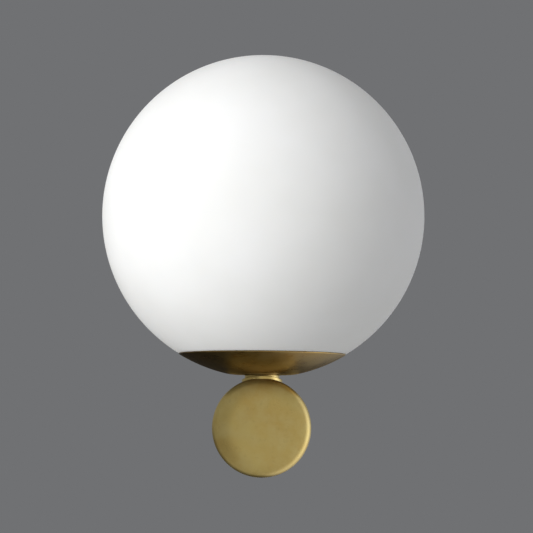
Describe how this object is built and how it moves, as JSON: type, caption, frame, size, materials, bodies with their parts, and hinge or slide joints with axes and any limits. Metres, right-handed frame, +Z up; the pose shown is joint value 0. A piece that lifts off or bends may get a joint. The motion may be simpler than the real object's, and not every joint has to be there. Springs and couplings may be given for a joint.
{
  "type": "globe wall sconce",
  "caption": "Wall light with a large opal glass globe standing in a shallow brass dish, on a short neck above a round brass drum that an arm holds out from a wall canopy.",
  "frame": {"origin": "middle of the wall plate's back face, half way between its two screw slots, on the wall plane", "axes": "+Z up, +Y into the wall along the arm's axis, +X to the right of someone facing the wall"},
  "size_m": [0.25, 0.265, 0.3291],
  "materials": {
    "brass_satin": "satin brushed and lacquered brass",
    "brass_raw": "plain turned brass",
    "opal_glass": "white opal glass, satin etched outside",
    "zinc_steel": "zinc plated steel",
    "spring_steel": "bright spring steel",
    "white_steel": "white powder coat",
    "silicone": "translucent white silicone",
    "white_nylon": "moulded white plastic",
    "black_phenolic": "moulded black phenolic",
    "ceramic_body": "unglazed steatite",
    "nickel": "nickel plated brass",
    "black_glass": "black vitrite",
    "tinned_copper": "tinned",
    "board_alu": "white masked circuit board",
    "frosted_dome": "frosted polycarbonate",
    "wire_brown": "brown insulation",
    "wire_blue": "blue insulation",
    "wire_green": "green and yellow insulation"
  },
  "bodies": {
    "wall_plate": {"wall_plate": "zinc_steel", "cable_bush": "white_nylon"},
    "fixture": {"canopy": "brass_satin", "canopy_screws": "brass_satin", "canopy_backing": "zinc_steel", "terminal_block": "white_nylon", "terminal_barrels": "brass_raw", "terminal_screws": "zinc_steel", "earth_screw": "zinc_steel", "earth_tag": "tinned_copper", "arm_tube": "brass_satin", "arm_rod": "zinc_steel", "arm_bushes": "white_nylon", "arm_nuts": "zinc_steel", "drum_washer": "zinc_steel", "drum_body": "brass_satin", "drum_back_plate": "brass_satin", "drum_back_screws": "brass_raw", "neck_collar": "brass_satin", "neck_rod": "zinc_steel", "neck_saddle": "zinc_steel", "neck_nuts": "zinc_steel", "dish": "brass_satin", "globe_carrier": "white_steel", "globe_gasket": "silicone", "globe_clips": "spring_steel", "clip_rivets": "spring_steel", "stem_washer": "zinc_steel", "holder_cup": "black_phenolic", "holder_skirt": "black_phenolic", "holder_core": "ceramic_body", "holder_thread": "brass_raw", "holder_contact": "brass_raw", "wire_live": "wire_brown", "wire_neutral": "wire_blue", "wire_earth": "wire_green"},
    "globe": {"globe": "opal_glass"},
    "bulb": {"bulb_cap": "nickel", "bulb_insulator": "black_glass", "bulb_tip": "tinned_copper", "bulb_housing": "white_nylon", "bulb_board": "board_alu", "bulb_dome": "frosted_dome"}
  },
  "joints": [
    {"name": "fixture_off_plate", "type": "slide", "parent": "wall_plate", "child": "fixture", "axis": [0, -1, 0], "range_m": [0, 0.05]},
    {"name": "globe_lift", "type": "slide", "parent": "fixture", "child": "globe", "axis": [0, 0, 1], "range_m": [0, 0.14]},
    {"name": "bulb_out", "type": "slide", "parent": "fixture", "child": "bulb", "axis": [0, 0, 1], "range_m": [0, 0.027]}
  ]
}
